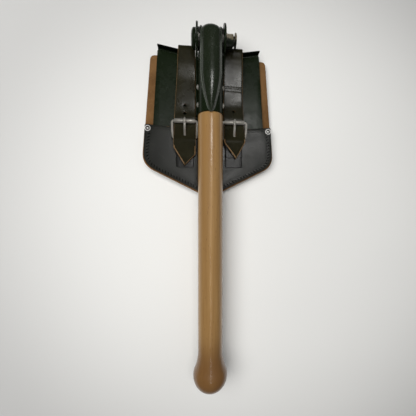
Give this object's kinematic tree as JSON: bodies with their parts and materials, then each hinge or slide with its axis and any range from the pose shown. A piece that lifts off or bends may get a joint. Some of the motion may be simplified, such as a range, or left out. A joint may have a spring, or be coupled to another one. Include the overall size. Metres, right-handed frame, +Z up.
{
  "type": "folding spade in carrier",
  "caption": "Folding spade with a ball-ended wooden handle and a folding pick, folded and buckled into its leather belt carrier.",
  "frame": {"origin": "on the resting surface, under the middle of the folded tool's length and width", "axes": "+Y along the handle from the ball towards the hinge, +Z up from the back of the carrier towards the handle, +X to the right of the tool seen from above with the hinge at the top"},
  "size_m": [0.1838, 0.485, 0.068],
  "materials": {
    "wood": "oiled, satin",
    "green_paint": "dark green gloss paint over steel",
    "bare_steel": "plain steel, lightly oiled",
    "worn_steel": "bare metal with worn patina",
    "nickel_steel": "dull nickel plate",
    "pocket_leather": "smooth dark grain, waxed",
    "strap_leather": "dark olive brown grain, waxed",
    "flesh_leather": "undyed flesh side, matt"
  },
  "bodies": {
    "spade_in_carrier": {"back_panel": "flesh_leather", "belt_loop_left": "strap_leather", "belt_loop_right": "strap_leather", "belt_loop_rivet_1": "nickel_steel", "belt_loop_rivet_2": "nickel_steel", "belt_loop_rivet_3": "nickel_steel", "belt_loop_rivet_4": "nickel_steel", "blade": "green_paint", "bracket_rivet_1": "green_paint", "bracket_rivet_2": "green_paint", "bracket_rivet_3": "green_paint", "bracket_rivet_4": "green_paint", "buckle_frame_left": "nickel_steel", "buckle_frame_right": "nickel_steel", "chape_left": "pocket_leather", "chape_right": "pocket_leather", "chape_rivet_1": "nickel_steel", "chape_rivet_2": "nickel_steel", "front_pocket": "pocket_leather", "guide_sleeve": "worn_steel", "hinge_bracket": "green_paint", "hinge_washer_left": "bare_steel", "hinge_washer_right": "bare_steel", "lock_spring": "bare_steel", "pocket_rivet_1": "nickel_steel", "pocket_rivet_2": "nickel_steel", "spring_housing": "green_paint", "strap_left": "strap_leather", "strap_right": "strap_leather", "strap_rivet_1": "nickel_steel", "strap_rivet_2": "nickel_steel", "strap_rivet_3": "nickel_steel", "strap_rivet_4": "nickel_steel", "welt": "flesh_leather"},
    "handle": {"wood_handle": "wood", "ferrule": "green_paint", "ferrule_rivet_1": "nickel_steel", "ferrule_rivet_2": "nickel_steel", "hinge_tongue": "green_paint", "tongue_pin": "green_paint"},
    "pick": {"pick": "green_paint"},
    "lock": {"lock_bolt": "bare_steel", "bolt_collar": "bare_steel", "push_button": "worn_steel"},
    "roller_left": {"buckle_roller_left": "nickel_steel"},
    "prong_left": {"buckle_prong_left": "nickel_steel"},
    "roller_right": {"buckle_roller_right": "nickel_steel"},
    "prong_right": {"buckle_prong_right": "nickel_steel"}
  },
  "joints": [
    {"name": "handle_fold", "type": "hinge", "parent": "spade_in_carrier", "child": "handle", "pos_m": [0, 0.2227, 0.042], "axis": [-1, 0, 0], "range_deg": [0, 180]},
    {"name": "pick_fold", "type": "hinge", "parent": "handle", "child": "pick", "pos_m": [0, 0.2227, 0.042], "axis": [-1, 0, 0], "range_deg": [0, 90]},
    {"name": "lock_push", "type": "slide", "parent": "spade_in_carrier", "child": "lock", "axis": [-1, 0, 0], "range_m": [0, 0.0022], "stiffness_N_per_m": 1500, "springref_m": -0.002, "deforming": ["lock_spring"]},
    {"name": "roller_left_spin", "type": "hinge", "parent": "spade_in_carrier", "child": "roller_left", "pos_m": [-0.034, 0.1205, 0.0271], "axis": [1, 0, 0], "continuous": true},
    {"name": "prong_left_lift", "type": "hinge", "parent": "spade_in_carrier", "child": "prong_left", "pos_m": [-0.034, 0.0985, 0.023], "axis": [1, 0, 0], "range_deg": [0, 20]},
    {"name": "roller_right_spin", "type": "hinge", "parent": "spade_in_carrier", "child": "roller_right", "pos_m": [0.034, 0.1205, 0.0271], "axis": [1, 0, 0], "continuous": true},
    {"name": "prong_right_lift", "type": "hinge", "parent": "spade_in_carrier", "child": "prong_right", "pos_m": [0.034, 0.0985, 0.023], "axis": [1, 0, 0], "range_deg": [0, 20]}
  ]
}
